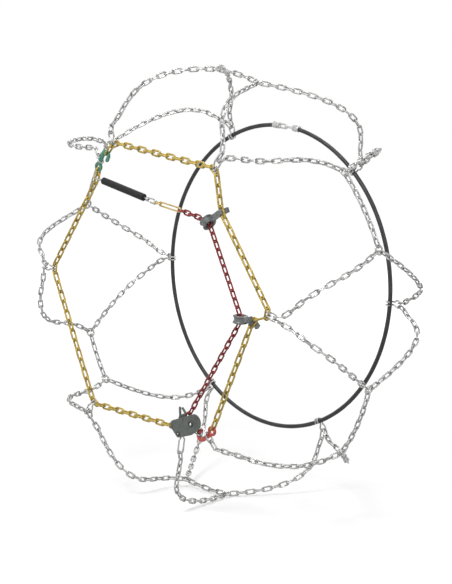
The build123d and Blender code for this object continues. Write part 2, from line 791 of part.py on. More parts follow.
# ---- elastic tail -------------------------------------------------------------------------------
rubber_in = tail_point(rubber_inner_end)
rubber_out = tail_point(rubber_outer_end)
rubber_along = direction_between(rubber_in, rubber_out)
rubber_length = (rubber_out - rubber_in).length
shank_section = RegularPolygon(shank_diameter / 2, 8)
swivel_pivot = rubber_in - rubber_along * swivel_reach

# long link: round the tension chain's last bar, and round the small loop's
long_along = direction_between(tail_start_at, swivel_pivot)
loop_inner = tail_style.pitch - tail_style.wire
long_start = tension_chain.wire / 2 + tail_style.play
long_end = tail_style.wire / 2 + tail_style.play
long_inner = (swivel_pivot - tail_start_at).length - tail_style.pitch + long_start + long_end
keep("tail_long_link", placed(
    wire_link(long_inner, tail_style.width, tail_style.wire),
    tail_start_at + long_along * (long_inner / 2 - long_start), long_along, outward,
))
keep("tail_loop", placed(
    wire_link(loop_inner, tail_style.width, tail_style.wire),
    swivel_pivot - long_along * tail_style.pitch / 2, long_along, long_along.cross(outward),
))

swivel_start = swivel_pivot - rubber_along * (tail_style.wire / 2 + tail_style.play)
swivel_loop = placed(
    wire_link(swivel_inner, swivel_width, tail_style.wire),
    swivel_start + rubber_along * swivel_inner / 2, rubber_along, outward,
)
swivel_end = swivel_start + rubber_along * (swivel_inner + tail_style.wire / 2)
swivel_shank = Plane(origin=swivel_end, x_dir=outward, z_dir=rubber_along).location * extrude(
    shank_section, (rubber_in - swivel_end).length + shank_depth
)
keep("tail_swivel_eye", swivel_loop + swivel_shank)

# wire hook: from the rubber along its axis, then round the inner bar of a side-chain link
hooked_corner = corners["tail_hook"]
hook_seat_at = hooked_corner.side_bar(-1)
hook_offset = side_chain.wire / 2 + hook_seat + shank_diameter / 2
hook_path = Polyline(
    rubber_out - rubber_along * shank_depth,
    rubber_out + rubber_along * hook_bend_ahead,
    hook_seat_at + hooked_corner.away * hook_offset + outward * hook_offset,
    hook_seat_at + hooked_corner.away * hook_offset + inward * hook_offset,
    hook_seat_at - hooked_corner.away * hook_return + inward * hook_offset,
)
hook_start = Plane(origin=rubber_out - rubber_along * shank_depth, x_dir=outward, z_dir=rubber_along)
tail_hook_wire = sweep(hook_start * shank_section, path=hook_path, transition=Transition.RIGHT)
keep("tail_hook", tail_hook_wire)

rubber = extrude(many_sided(rubber_diameter / 2), rubber_length)
rubber = chamfer(rubber.edges().filter_by(Axis.Z, reverse=True), rubber_edge)
rubber = Plane(origin=rubber_in, x_dir=outward, z_dir=rubber_along).location * rubber
keep("tail_rubber", rubber - swivel_shank - tail_hook_wire)


# ---- inner hoop ---------------------------------------------------------------------------------
def hoop_points():
    """The hoop's bends, from one side of its seam round to the other."""
    first = hoop_seam_angle + hoop_seam_gap / 2
    step = (full_turn - hoop_seam_gap) / hoop_segments
    return [on_wheel(first + step * i, hoop_radius, hoop_y) for i in range(hoop_segments + 1)]


bends = hoop_points()
hoop_frame = Plane(origin=bends[0], x_dir=inward, z_dir=bends[1] - bends[0])
hoop = sweep(
    hoop_frame * RegularPolygon(hoop_wire_diameter / 2, 6), path=Polyline(*bends), transition=Transition.RIGHT
)
keep("inner_hoop", hoop)


def coupling(end, other, facing):
    """Crimped ferrule on one end of the hoop, with a link that reaches through the other's."""
    along = direction_between(end, other)
    far_bar = ((other - end).length + coupling_wire + coupling_play) / 2
    inner = far_bar - coupling_wire / 2 - ferrule_ahead
    middle = end + along * (ferrule_ahead + inner / 2)
    link = placed(wire_link(inner, coupling_width, coupling_wire), middle, along, facing)
    ferrule = extrude(RegularPolygon(ferrule_diameter / 2, 8), ferrule_behind + ferrule_ahead)
    ferrule = Plane(origin=end - along * ferrule_behind, x_dir=inward, z_dir=along).location * ferrule
    return ferrule + link - hoop


seam_along = direction_between(bends[0], bends[-1])
keep("hoop_coupling_eye", coupling(bends[0], bends[-1], inward))
keep("hoop_coupling_hook", coupling(bends[-1], bends[0], seam_along.cross(inward)))

# ---- export -------------------------------------------------------------------------------------
os.makedirs("parts", exist_ok=True)
for name, shapes in parts.items():
    solids = [solid for shape in shapes for solid in shape.solids()]
    export_step(Compound(solids), f"parts/{name}.step")
print(len(parts), "nodes")
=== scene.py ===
# %% [markdown]
# # Dressing a tire snow chain
#
# The solid model of the chain is loaded as a fixed frame. It has every link in its right place, but
# each is a plain closed frame of square bar. Here each piece gets the shape that bent, welded, cast
# and forged steel really has, and each surface gets its finish.

# %% Load the frame
import bpy
import bmesh
from math import cos, pi, radians, sin
from mathutils import Matrix, Vector


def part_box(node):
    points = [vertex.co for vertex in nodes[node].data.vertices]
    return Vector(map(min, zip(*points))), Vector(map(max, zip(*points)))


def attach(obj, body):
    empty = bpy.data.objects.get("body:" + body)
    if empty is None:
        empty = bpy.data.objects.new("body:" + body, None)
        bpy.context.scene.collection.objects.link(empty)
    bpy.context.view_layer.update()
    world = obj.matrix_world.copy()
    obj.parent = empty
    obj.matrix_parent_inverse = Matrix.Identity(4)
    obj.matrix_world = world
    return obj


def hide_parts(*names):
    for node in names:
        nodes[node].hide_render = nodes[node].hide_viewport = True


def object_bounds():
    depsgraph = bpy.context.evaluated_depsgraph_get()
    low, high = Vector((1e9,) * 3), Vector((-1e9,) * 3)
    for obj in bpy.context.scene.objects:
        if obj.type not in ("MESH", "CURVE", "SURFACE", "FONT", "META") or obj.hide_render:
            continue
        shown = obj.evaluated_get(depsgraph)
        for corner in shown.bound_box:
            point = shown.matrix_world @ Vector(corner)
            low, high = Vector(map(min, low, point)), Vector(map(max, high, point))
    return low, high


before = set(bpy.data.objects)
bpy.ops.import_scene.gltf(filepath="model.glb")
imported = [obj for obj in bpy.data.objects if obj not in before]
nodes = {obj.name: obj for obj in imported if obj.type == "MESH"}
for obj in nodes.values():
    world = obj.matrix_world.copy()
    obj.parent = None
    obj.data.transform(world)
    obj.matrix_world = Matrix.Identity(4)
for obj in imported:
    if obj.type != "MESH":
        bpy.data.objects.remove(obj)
cad_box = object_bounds()
OUTWARD = Vector((0, -1, 0))
INWARD = Vector((0, 1, 0))
print(len(nodes), "pieces in the frame")

# %% [markdown]
# ## The camera
#
# The view is a long lens from the outer side, a little above the wheel's centre, turned so that the
# tread shows on the right. It is set by the point that it looks at, two angles and a distance, since
# those can be read as a person would say them. A matrix typed in would work too, but says nothing.

# %% Place the camera
VIEW_AZIMUTH = 45.79
VIEW_ELEVATION = 8.30
VIEW_DISTANCE = 2.6584
LOOK_AT = Vector((0.0096, 0.0069, -0.0124))
LENS_MM = 102.33
SENSOR_MM = 36.0
CLIP_END = 20.0


def toward_camera(azimuth, elevation):
    """The direction from the object to the eye: azimuth 0 looks along +Y."""
    flat = cos(radians(elevation))
    across = radians(azimuth)
    return Vector((flat * sin(across), -flat * cos(across), sin(radians(elevation))))


camera_data = bpy.data.cameras.new("camera")
camera_data.lens = LENS_MM
camera_data.sensor_width = SENSOR_MM
camera_data.clip_end = CLIP_END
camera = bpy.data.objects.new("camera", camera_data)
bpy.context.scene.collection.objects.link(camera)
back = toward_camera(VIEW_AZIMUTH, VIEW_ELEVATION)
camera.location = LOOK_AT + back * VIEW_DISTANCE
camera.rotation_euler = back.to_track_quat("Z", "Y").to_euler()
bpy.context.scene.camera = camera
bpy.context.scene.view_settings.view_transform = "Standard"
print("camera at", [round(c, 4) for c in camera.location])

# %% [markdown]
# ## Node groups for the finishes
#
# Zinc, paint and cast metal share the same small faults: soft blotches, fine grain, and edges rubbed
# bare. Each is built once as a shader node group with named inputs and outputs, and every material
# places it with its own values. A group could hold the whole shader, but keeping the shader in the
# material lets each finish set its own plain numbers there.

# %% Helpers for building node trees
def add_node(tree, kind, **settings):
    """A node in a tree. Settings name its attributes, or its inputs with underscores for spaces."""
    node = tree.nodes.new(kind)
    for name, value in settings.items():
        if hasattr(node, name):
            setattr(node, name, value)
        else:
            node.inputs[name.replace("_", " ")].default_value = value
    return node


def new_group(name, inputs, outputs):
    """An empty node group with float or colour sockets, and its two end nodes."""
    group = bpy.data.node_groups.new(name, "ShaderNodeTree")
    for label, kind, value in inputs:
        socket = group.interface.new_socket(label, in_out="INPUT", socket_type=kind)
        if value is not None:
            socket.default_value = value
    for label, kind in outputs:
        group.interface.new_socket(label, in_out="OUTPUT", socket_type=kind)
    return group, group.nodes.new("NodeGroupInput"), group.nodes.new("NodeGroupOutput")


FLOAT = "NodeSocketFloat"
COLOUR = "NodeSocketColor"
print("node helpers ready")

# %% Blotches: a soft patchy mask between 0 and 1
blotches, given, result = new_group(
    "blotches",
    [("Scale", FLOAT, 120.0), ("Low", FLOAT, 0.4), ("High", FLOAT, 0.65)],
    [("Mask", FLOAT)],
)
place = blotches.nodes.new("ShaderNodeTexCoord")
cloud = add_node(blotches, "ShaderNodeTexNoise", Detail=4.0, Roughness=0.6)
spread = add_node(blotches, "ShaderNodeMapRange", interpolation_type="SMOOTHSTEP")
blotches.links.new(place.outputs["Object"], cloud.inputs["Vector"])
blotches.links.new(given.outputs["Scale"], cloud.inputs["Scale"])
blotches.links.new(cloud.outputs["Fac"], spread.inputs["Value"])
blotches.links.new(given.outputs["Low"], spread.inputs["From Min"])
blotches.links.new(given.outputs["High"], spread.inputs["From Max"])
blotches.links.new(spread.outputs["Result"], result.inputs["Mask"])
print("blotches ready")

# %% Grain: the fine height of a cast, coated or moulded skin
grain, given, result = new_group("grain", [("Scale", FLOAT, 900.0)], [("Height", FLOAT)])
place = grain.nodes.new("ShaderNodeTexCoord")
speckle = add_node(grain, "ShaderNodeTexNoise", Detail=2.0, Roughness=0.5)
grain.links.new(place.outputs["Object"], speckle.inputs["Vector"])
grain.links.new(given.outputs["Scale"], speckle.inputs["Scale"])
grain.links.new(speckle.outputs["Fac"], result.inputs["Height"])
print("grain ready")

# %% Edge wear: a mask on outer edges, broken up so that it isn't a drawn line
BROKEN_FROM = 0.38
BROKEN_TO = 0.60
edge_wear, given, result = new_group(
    "edge wear",
    [("Start", FLOAT, 0.52), ("Full", FLOAT, 0.60), ("Break", FLOAT, 500.0)],
    [("Mask", FLOAT)],
)
shape = edge_wear.nodes.new("ShaderNodeNewGeometry")
place = edge_wear.nodes.new("ShaderNodeTexCoord")
chips = add_node(edge_wear, "ShaderNodeTexNoise", Detail=3.0, Roughness=0.6)
edge = add_node(edge_wear, "ShaderNodeMapRange", interpolation_type="SMOOTHSTEP")
broken = add_node(edge_wear, "ShaderNodeMapRange", interpolation_type="SMOOTHSTEP")
broken.inputs["From Min"].default_value = BROKEN_FROM
broken.inputs["From Max"].default_value = BROKEN_TO
both = add_node(edge_wear, "ShaderNodeMath", operation="MULTIPLY")
edge_wear.links.new(shape.outputs["Pointiness"], edge.inputs["Value"])
edge_wear.links.new(given.outputs["Start"], edge.inputs["From Min"])
edge_wear.links.new(given.outputs["Full"], edge.inputs["From Max"])
edge_wear.links.new(place.outputs["Object"], chips.inputs["Vector"])
edge_wear.links.new(given.outputs["Break"], chips.inputs["Scale"])
edge_wear.links.new(chips.outputs["Fac"], broken.inputs["Value"])
edge_wear.links.new(edge.outputs["Result"], both.inputs[0])
edge_wear.links.new(broken.outputs["Result"], both.inputs[1])
edge_wear.links.new(both.outputs[0], result.inputs["Mask"])
print("edge wear ready")

# %% Tint: two colours and two roughnesses mixed by a mask
MIX_FACTOR = 0
COLOUR_A, COLOUR_B, COLOUR_MIXED = 6, 7, 2
VALUE_A, VALUE_B, VALUE_MIXED = 2, 3, 0
tint, given, result = new_group(
    "tint",
    [("Mask", FLOAT, 0.5), ("Clean", COLOUR, None), ("Worn", COLOUR, None),
     ("Clean Roughness", FLOAT, 0.3), ("Worn Roughness", FLOAT, 0.5)],
    [("Color", COLOUR), ("Roughness", FLOAT)],
)
blend = add_node(tint, "ShaderNodeMix", data_type="RGBA")
level = add_node(tint, "ShaderNodeMix", data_type="FLOAT")
tint.links.new(given.outputs["Mask"], blend.inputs[MIX_FACTOR])
tint.links.new(given.outputs["Clean"], blend.inputs[COLOUR_A])
tint.links.new(given.outputs["Worn"], blend.inputs[COLOUR_B])
tint.links.new(given.outputs["Mask"], level.inputs[MIX_FACTOR])
tint.links.new(given.outputs["Clean Roughness"], level.inputs[VALUE_A])
tint.links.new(given.outputs["Worn Roughness"], level.inputs[VALUE_B])
tint.links.new(blend.outputs[COLOUR_MIXED], result.inputs["Color"])
tint.links.new(level.outputs[VALUE_MIXED], result.inputs["Roughness"])
print("groups:", [group.name for group in bpy.data.node_groups])

# %% [markdown]
# ## The finishes
#
# One function lays out a finish: a mask picks between a clean and a dull state, outer edges may be
# rubbed to another colour, and grain feeds a bump. Zinc is a grey metal with a dull bloom. The
# yellow, red and green coats are a coloured base with a thin clear coat over it. Each could be drawn
# by hand as its own tree, but one recipe keeps the finishes alike where the real ones are alike. The
# lever is left without rubbed edges: the wear mask reads how a mesh bends at its corner points, and
# on the lever's few large faces it would spread as a cloud.

# %% One recipe for every coated or bare metal
COAT_ROUGHNESS = 0.15
GRAIN_DEPTH = 0.0004
WEAR_BAND = 0.07
PATCH = (0.42, 0.66)


def finish(name, clean, dull, rough, rubbed=None, rub_from=0.53, patch_scale=160.0,
           grain_scale=900.0, bump=0.12, metallic=0.0, coat=0.0, specular=0.5):
    """A material whose surface shifts between a clean and a dull state."""
    material = bpy.data.materials.new(name)
    material.use_nodes = True
    tree = material.node_tree
    shader = tree.nodes["Principled BSDF"]
    shader.inputs["Metallic"].default_value = metallic
    shader.inputs["Coat Weight"].default_value = coat
    shader.inputs["Coat Roughness"].default_value = COAT_ROUGHNESS
    shader.inputs["Specular IOR Level"].default_value = specular
    patches = add_node(tree, "ShaderNodeGroup", node_tree=blotches)
    patches.inputs["Scale"].default_value = patch_scale
    patches.inputs["Low"].default_value = PATCH[0]
    patches.inputs["High"].default_value = PATCH[1]
    colours = mix_states(tree, patches, clean, dull, rough)
    if rubbed is not None:
        edges = add_node(tree, "ShaderNodeGroup", node_tree=edge_wear)
        edges.inputs["Start"].default_value = rub_from
        edges.inputs["Full"].default_value = rub_from + WEAR_BAND
        covered = colours
        colours = mix_states(tree, edges, clean, rubbed, (rough[0], rough[0]))
        tree.links.new(covered.outputs["Color"], colours.inputs["Clean"])
        tree.links.new(covered.outputs["Roughness"], colours.inputs["Clean Roughness"])
    skin = add_node(tree, "ShaderNodeGroup", node_tree=grain)
    skin.inputs["Scale"].default_value = grain_scale
    relief = add_node(tree, "ShaderNodeBump", Strength=bump, Distance=GRAIN_DEPTH)
    tree.links.new(colours.outputs["Color"], shader.inputs["Base Color"])
    tree.links.new(colours.outputs["Roughness"], shader.inputs["Roughness"])
    tree.links.new(skin.outputs["Height"], relief.inputs["Height"])
    tree.links.new(relief.outputs["Normal"], shader.inputs["Normal"])
    return material


def mix_states(tree, mask, clean, worn, rough):
    """The tint group in a tree, with its mask joined and its two states set."""
    colours = add_node(tree, "ShaderNodeGroup", node_tree=tint)
    colours.inputs["Clean"].default_value = (*clean, 1.0)
    colours.inputs["Worn"].default_value = (*worn, 1.0)
    colours.inputs["Clean Roughness"].default_value = rough[0]
    colours.inputs["Worn Roughness"].default_value = rough[1]
    tree.links.new(mask.outputs["Mask"], colours.inputs["Mask"])
    return colours


print("finish recipe ready")

# %% Name the zinc and steel finishes
zinc = finish(
    "galvanised_zinc", (0.47, 0.47, 0.465), (0.22, 0.22, 0.217), (0.20, 0.42), metallic=0.68,
)
bright_zinc = finish(
    "bright_zinc_wire", (0.46, 0.46, 0.455), (0.27, 0.27, 0.265), (0.22, 0.40), metallic=0.65,
)
rivet_steel = finish(
    "rivet_steel", (0.55, 0.55, 0.54), (0.34, 0.34, 0.33), (0.22, 0.42), metallic=0.7,
)
gold_zinc = finish(
    "yellow_zinc_wire", (0.56, 0.42, 0.15), (0.38, 0.29, 0.11), (0.26, 0.42), metallic=0.55,
)
print("bare metals:", zinc.name, bright_zinc.name, rivet_steel.name, gold_zinc.name)

# %% Name the coats, the cast metal and the rubber
yellow_coat = finish(
    "yellow_coat", (0.48, 0.348, 0.064), (0.28, 0.205, 0.04), (0.34, 0.52), metallic=0.2, coat=0.1,
    specular=0.35,
)
red_coat = finish(
    "dark_red_coat", (0.235, 0.017, 0.016), (0.13, 0.011, 0.010), (0.36, 0.52), coat=0.12,
    specular=0.3,
)
green_paint = finish(
    "green_hook_paint", (0.036, 0.22, 0.14), (0.025, 0.14, 0.09), (0.36, 0.52),
    rubbed=(0.16, 0.40, 0.30), coat=0.25,
)
red_paint = finish(
    "red_hook_paint", (0.46, 0.045, 0.032), (0.27, 0.03, 0.022), (0.36, 0.52),
    rubbed=(0.56, 0.13, 0.10), coat=0.25,
)
plate_paint = finish(
    "plate_paint", (0.075, 0.088, 0.078), (0.048, 0.056, 0.05), (0.40, 0.60),
    rubbed=(0.24, 0.25, 0.235), coat=0.12, patch_scale=70.0,
)
lever_paint = finish(
    "lever_paint", (0.115, 0.13, 0.118), (0.07, 0.078, 0.072), (0.42, 0.60), metallic=0.3,
    patch_scale=90.0,
)
cast_grey = finish(
    "cast_guide_metal", (0.15, 0.158, 0.158), (0.075, 0.08, 0.08), (0.36, 0.55),
    rubbed=(0.26, 0.27, 0.27), rub_from=0.57, metallic=0.35, patch_scale=90.0, bump=0.15,
)
# Near-black paint for the rivets' rolled rims: painted shade, not a finish that the steel has.
rim_painted_shade = finish(
    "rivet_rim_painted_shade", (0.018, 0.020, 0.019), (0.035, 0.038, 0.036), (0.35, 0.55), metallic=0.2,
    patch_scale=300.0,
)
black_rubber = finish(
    "black_rubber", (0.008, 0.008, 0.008), (0.016, 0.016, 0.016), (0.58, 0.72), patch_scale=60.0,
    grain_scale=500.0, bump=0.2, specular=0.25,
)
cable_sheath = finish(
    "cable_sheath", (0.018, 0.018, 0.02), (0.035, 0.035, 0.038), (0.42, 0.58), patch_scale=60.0,
    bump=0.2, specular=0.35,
)
print(len(bpy.data.materials), "finishes")

# %% [markdown]
# ## Reading the frame's pieces
#
# A node of the frame can hold many separate solids: a run of chain is one node with a solid for each
# link. The solids are told apart by walking from vertex to vertex along edges. A plain link's own
# axes are then found from its corners, as its longest, middle and shortest sides. The places could
# also be typed in, but read from the frame they stay right when a size of the chain changes.

# %% Split a node's mesh into its separate solids
SAME_PLACE_DIGITS = 6


def solids_of(node):
    """Lists of corner points, one list for each separate solid of a node."""
    mesh = nodes[node].data
    merged = {}
    group_of = []
    for vertex in mesh.vertices:
        key = tuple(round(c, SAME_PLACE_DIGITS) for c in vertex.co)
        group_of.append(merged.setdefault(key, len(merged)))
    root = list(range(len(merged)))

    def top(i):
        """The root of a point's tree, with the way there shortened."""
        while root[i] != i:
            root[i] = root[root[i]]
            i = root[i]
        return i

    for edge in mesh.edges:
        root[top(group_of[edge.vertices[0]])] = top(group_of[edge.vertices[1]])
    solids = {}
    for key, index in merged.items():
        solids.setdefault(top(index), []).append(Vector(key))
    return list(solids.values())


def middle_of(points):
    """The mean of some points."""
    return sum(points, Vector()) / len(points)


print("the tread rings are", len(solids_of("tread_rings")), "solids")

# %% Read a plain link: its middle and its three sides
CORNER_SHARE = 0.999


def box_axes(points):
    """The middle of a plain link, and its length, width and thickness as edge lines of its box."""
    middle = middle_of(points)
    reach = max((point - middle).length for point in points)
    corners = [point for point in points if (point - middle).length > reach * CORNER_SHARE]
    edges = sorted((corner - corners[0] for corner in corners[1:]), key=lambda edge: edge.length)
    thin, wide, long = edges[0], edges[1], edges[3]
    return middle, long, wide, thin


def axes_matrix(along, facing):
    """A turn whose X is along one direction and whose Z is as near as can be to another."""
    x = along.normalized()
    z = (facing - x * facing.dot(x)).normalized()
    return Matrix((x, z.cross(x), z)).transposed()


cross_nodes = [name for name in nodes if "cross_chain" in name or name.startswith("tread_chain")]
side_nodes = [name for name in nodes if name.startswith("side_chain")] + ["closing_link"]
tension_nodes = [name for name in nodes if name.startswith("tension_chain")]
links = {
    name: [box_axes(points) for points in solids_of(name)]
    for name in cross_nodes + side_nodes + tension_nodes
}
side_links = [link for name in side_nodes for link in links[name]]
tension_links = [link for name in tension_nodes for link in links[name]]
print("a side-chain link is", [round(edge.length * 1000, 2) for edge in side_links[0][1:]], "mm")


# %% Find the flat link that a fitting holds on to
FLAT_ENOUGH = 0.95


def flat_link_near(point, candidates):
    """The nearest link that lies flat against the wheel, where fittings clip on."""
    flat = [link for link in candidates if abs(link[3].normalized().y) > FLAT_ENOUGH]
    return min(flat, key=lambda link: (link[0] - point).length)


print(len(side_links), "links in the outer side chain,", len(tension_links), "in the tension chain")

# %% [markdown]
# ## Tools for wire, turned shapes and finished pieces
#
# Nearly all of this object is bent round wire. A bevelled curve would draw it too, but there are
# hundreds of links, and a tube swept in mesh code lets the wire swell at a weld. Two line makers feed
# the sweep: one for bent wire and one for an oval link. A second tool turns a profile as a lathe does.

# %% Bend a line at its corners
MOST_OF_A_SIDE = 0.49


def bent_line(points, bend, closed=False, steps=6):
    """The middle line of wire bent at each point. The curve starts at the distance bend from it."""
    line = []
    for i, point in enumerate(points):
        if not closed and i in (0, len(points) - 1):
            line.append(point)
            continue
        back_way = points[i - 1] - point
        on_way = points[(i + 1) % len(points)] - point
        reach = min(bend, back_way.length * MOST_OF_A_SIDE, on_way.length * MOST_OF_A_SIDE)
        start = point + back_way.normalized() * reach
        stop = point + on_way.normalized() * reach
        for step in range(steps + 1):
            share = step / steps
            line.append(start * (1 - share) ** 2 + point * 2 * share * (1 - share) + stop * share ** 2)
    return line


print("lines can be bent")

# %% Sweep round wire along a line
def sweep_wire(mesh, line, radius_at, closed=True, sides=10):
    """Adds a tube along a line to a bmesh. radius_at gives the radius at a step and a side."""
    count = len(line)
    rings = []
    up = None
    for i, point in enumerate(line):
        before = line[i - 1] if closed or i > 0 else line[0]
        after = line[(i + 1) % count] if closed or i < count - 1 else line[-1]
        along = (after - before).normalized()
        if up is None:
            up = along.orthogonal().normalized()
        up = (up - along * up.dot(along)).normalized()
        across = along.cross(up)
        ring = []
        for side in range(sides):
            turn = 2 * pi * side / sides
            spoke = up * cos(turn) + across * sin(turn)
            ring.append(mesh.verts.new(point + spoke * radius_at(i, side)))
        rings.append(ring)
    join_rings(mesh, rings, closed)


def join_rings(mesh, rings, closed, paint=lambda step: 0):
    """Faces between rings of vertices. An open row gets a cap on each end."""
    following = rings[1:] + rings[:1] if closed else rings[1:]
    for step, (ring, after) in enumerate(zip(rings, following)):
        for k in range(len(ring)):
            turn = (k + 1) % len(ring)
            mesh.faces.new((ring[k], ring[turn], after[turn], after[k])).material_index = paint(step)
    if not closed:
        mesh.faces.new(list(reversed(rings[0]))).material_index = paint(0)
        mesh.faces.new(rings[-1]).material_index = paint(len(rings) - 2)


print("lines can be swept to wire")

# %% Turn a profile as on a lathe
def lathe(mesh, origin, axis, profile, closed=False, steps=36, paint=lambda step: 0):
    """Turns a profile of (radius, place along the axis) points round an axis."""
    axis = axis.normalized()
    side = axis.orthogonal().normalized()
    up = axis.cross(side)
    rings = []
    for radius, reach in profile:
        ring = []
        for k in range(steps):
            turn = 2 * pi * k / steps
            spoke = side * cos(turn) + up * sin(turn)
            ring.append(mesh.verts.new(origin + axis * reach + spoke * radius))
        rings.append(ring)
    join_rings(mesh, rings, closed, paint)


print("profiles can be turned")

# %% Turn a mesh into a finished piece
def object_from(mesh, name, materials, slot, *replaced, body="net", sharp=40.0):
    """Finishes a bmesh as a piece that stands for nodes of the frame. Edges over sharp stay crisp."""
    data = bpy.data.meshes.new(name)
    bmesh.ops.recalc_face_normals(mesh, faces=mesh.faces)
    mesh.to_mesh(data)
    mesh.free()
    for face in data.polygons:
        face.use_smooth = True
    data.set_sharp_from_angle(angle=radians(sharp))
    piece = bpy.data.objects.new(name, data)
    bpy.context.scene.collection.objects.link(piece)
    for material in materials:
        data.materials.append(material)
    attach(piece, body)
    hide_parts(*replaced)
    return piece


print("meshes can become pieces")

# %% [markdown]
# ## Chain links
#
# A real link is a length of round wire bent to an oval, with its ends butt-welded on one long side,
# where the weld stands a little proud. It is the piece that this object is made of, so it is worth
# the care: each link has its own half-round ends and its weld. Copies of one mesh would be lighter,
# but the links differ slightly in length, as each run is fitted to its place.

# %% Draw the middle line of an oval link, with its weld
BEND_STEPS = 7
WELD_REACH = 0.0013
WELD_SWELL = 1.16
WELD_TOP = 0.45


def link_line(length, width):
    """Points of a link's middle line in its own plane, and how much the wire swells at each."""
    bend = width / 2
    line = []
    swell = []
    for side, start in ((1, -90), (-1, 90)):
        for step in range(2 * BEND_STEPS - 1):
            angle = radians(start + 180.0 * step / (2 * BEND_STEPS - 2))
            centre = Vector((side * (length / 2 - bend), 0, 0))
            line.append(centre + Vector((cos(angle), sin(angle), 0)) * bend)
            swell.append(1.0)
        if side == 1:
            bead = ((1.0, 1.0), (WELD_TOP, WELD_SWELL), (-WELD_TOP, WELD_SWELL), (-1.0, 1.0))
            for place, size in bead:
                line.append(Vector((place * WELD_REACH, bend, 0)))
                swell.append(size)
    return line, swell


print("an oval link has", len(link_line(0.018, 0.009)[0]), "points")

# %% Build one link and one run
def add_link(mesh, middle, long, wide, thin):
    """One link of round wire where the frame has a plain one."""
    wire = thin.length
    turn = axes_matrix(long, thin)
    line, swell = link_line(long.length - wire, wide.length - wire)
    sweep_wire(mesh, [middle + turn @ point for point in line], lambda i, side: wire / 2 * swell[i])


def chain_piece(node, material, slot):
    """A run of links as one piece."""
    mesh = bmesh.new()
    for link in links[node]:
        add_link(mesh, *link)
    object_from(mesh, node + "_links", [material], slot, node)
    return len(links[node])


print("link tools ready")

# %% Replace every run of chain
total = sum(chain_piece(name, zinc, "cross_chain_zinc") for name in cross_nodes)
total += sum(chain_piece(name, yellow_coat, "side_chain_yellow") for name in side_nodes)
total += sum(chain_piece(name, red_coat, "tension_chain_red") for name in tension_nodes)
for name in ("tail_long_link", "tail_loop"):
    links[name] = [box_axes(points) for points in solids_of(name)]
    total += chain_piece(name, gold_zinc, "tail_link_gold")
print(total, "links bent and welded")

# %% [markdown]
# ## Tread rings
#
# A round welded ring joins the chains that meet on the tread. Blender has a torus for this, but the
# lathe turned round a closed circle gives one whose axis is set in the same call: out from the wheel.

# %% Turn the tread rings
RING_MIDDLE = 0.0070
RING_WIRE = 0.0032
RING_SIDES = 12
ring_turns = [2 * pi * k / RING_SIDES for k in range(RING_SIDES)]
ring_section = [
    (RING_MIDDLE + cos(turn) * RING_WIRE / 2, sin(turn) * RING_WIRE / 2) for turn in ring_turns
]
rings = bmesh.new()
ring_solids = solids_of("tread_rings")
for points in ring_solids:
    middle = middle_of(points)
    lathe(rings, middle, Vector((middle.x, 0, middle.z)), ring_section, closed=True)
object_from(rings, "tread_rings_round", [zinc], "ring_zinc", "tread_rings")
print(len(ring_solids), "rings turned")

# %% [markdown]
# ## Connectors
#
# A connector is one wire: a hairpin that is folded round a bar of the side rope, with its two cut
# ends tucked behind. Its wide closed end holds the cross chains. As a swept line it needs only the
# places of its bends, written from the bar that it folds round.

# %% Sweep a folded connector
CONNECTOR_WIRE = 0.0026
CONNECTOR_SEAT = 0.00035
NECK_HALF = 0.0025
HEAD_HALF = 0.0056
CONNECTOR_REACH = 0.017
BEND_SHARE = 0.98
connectors_made = []


def add_connector(mesh, seat, away, facing, bar, reach=CONNECTOR_REACH, neck=0.0):
    """A folded hairpin of wire: away runs out from the bar, facing looks at its longer side."""
    turn = axes_matrix(away, facing)
    layer = bar / 2 + CONNECTOR_SEAT + CONNECTOR_WIRE / 2
    neck_end = max(neck, bar / 2 + CONNECTOR_WIRE)
    shoulder = neck_end + HEAD_HALF - NECK_HALF
    side = [
        (bar / 2, NECK_HALF, -layer), (-layer, NECK_HALF, -layer), (-layer, NECK_HALF, layer),
        (neck_end, NECK_HALF, layer), (shoulder, HEAD_HALF, layer), (reach, HEAD_HALF, layer),
    ]
    other = [(x, -y, z) for x, y, z in reversed(side)]
    line = bent_line([seat + turn @ Vector(place) for place in side + other], layer * BEND_SHARE)
    sweep_wire(mesh, line, lambda i, k: CONNECTOR_WIRE / 2, closed=False)
    connectors_made.append(seat)


print("connector tool ready")

# %% Fold the outer connectors round the side chain's corner links
LONG_REACH = 0.032
LONG_NECK = 0.0063
LONG_HEADING = 260.0
SIDE_WIRE = 0.0032
PIN_DIAMETER = 0.0036
pins = sorted((middle_of(points) for points in solids_of("tensioner_rivets")), key=lambda pin: pin.x)
chain_pin, cross_pin, anchor_pin, main_pin = pins
front = bmesh.new()
for points in solids_of("front_connectors"):
    place = middle_of(points)
    middle, long, wide, thin = flat_link_near(place, side_links)
    if (place - middle).length < CONNECTOR_REACH:
        away = wide.normalized() if wide.dot(place - middle) > 0 else -wide.normalized()
        seat = middle + away * (wide.length - thin.length) / 2
        add_connector(front, seat, away, OUTWARD, SIDE_WIRE)
    else:
        away = Vector((cos(radians(LONG_HEADING)), 0, sin(radians(LONG_HEADING))))
        seat = Vector((cross_pin.x, middle.y, cross_pin.z))
        add_connector(front, seat, away, OUTWARD.cross(away), PIN_DIAMETER, LONG_REACH, LONG_NECK)
object_from(front, "front_connectors_wire", [bright_zinc], "connector_zinc", "front_connectors")
print(len(connectors_made), "outer connectors folded")

# %% Fold the inner connectors round the hoop
HOOP_RADIUS = 0.250
HOOP_DIAMETER = 0.0070
hoop_low, hoop_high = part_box("inner_hoop")
hoop_y = (hoop_low[1] + hoop_high[1]) / 2
rear = bmesh.new()
for points in solids_of("rear_connectors"):
    place = middle_of(points)
    away = Vector((place.x, 0, place.z)).normalized()
    add_connector(rear, away * HOOP_RADIUS + INWARD * hoop_y, away, INWARD, HOOP_DIAMETER)
object_from(rear, "rear_connectors_wire", [bright_zinc], "connector_zinc", "rear_connectors")
print(len(connectors_made), "connectors in all")

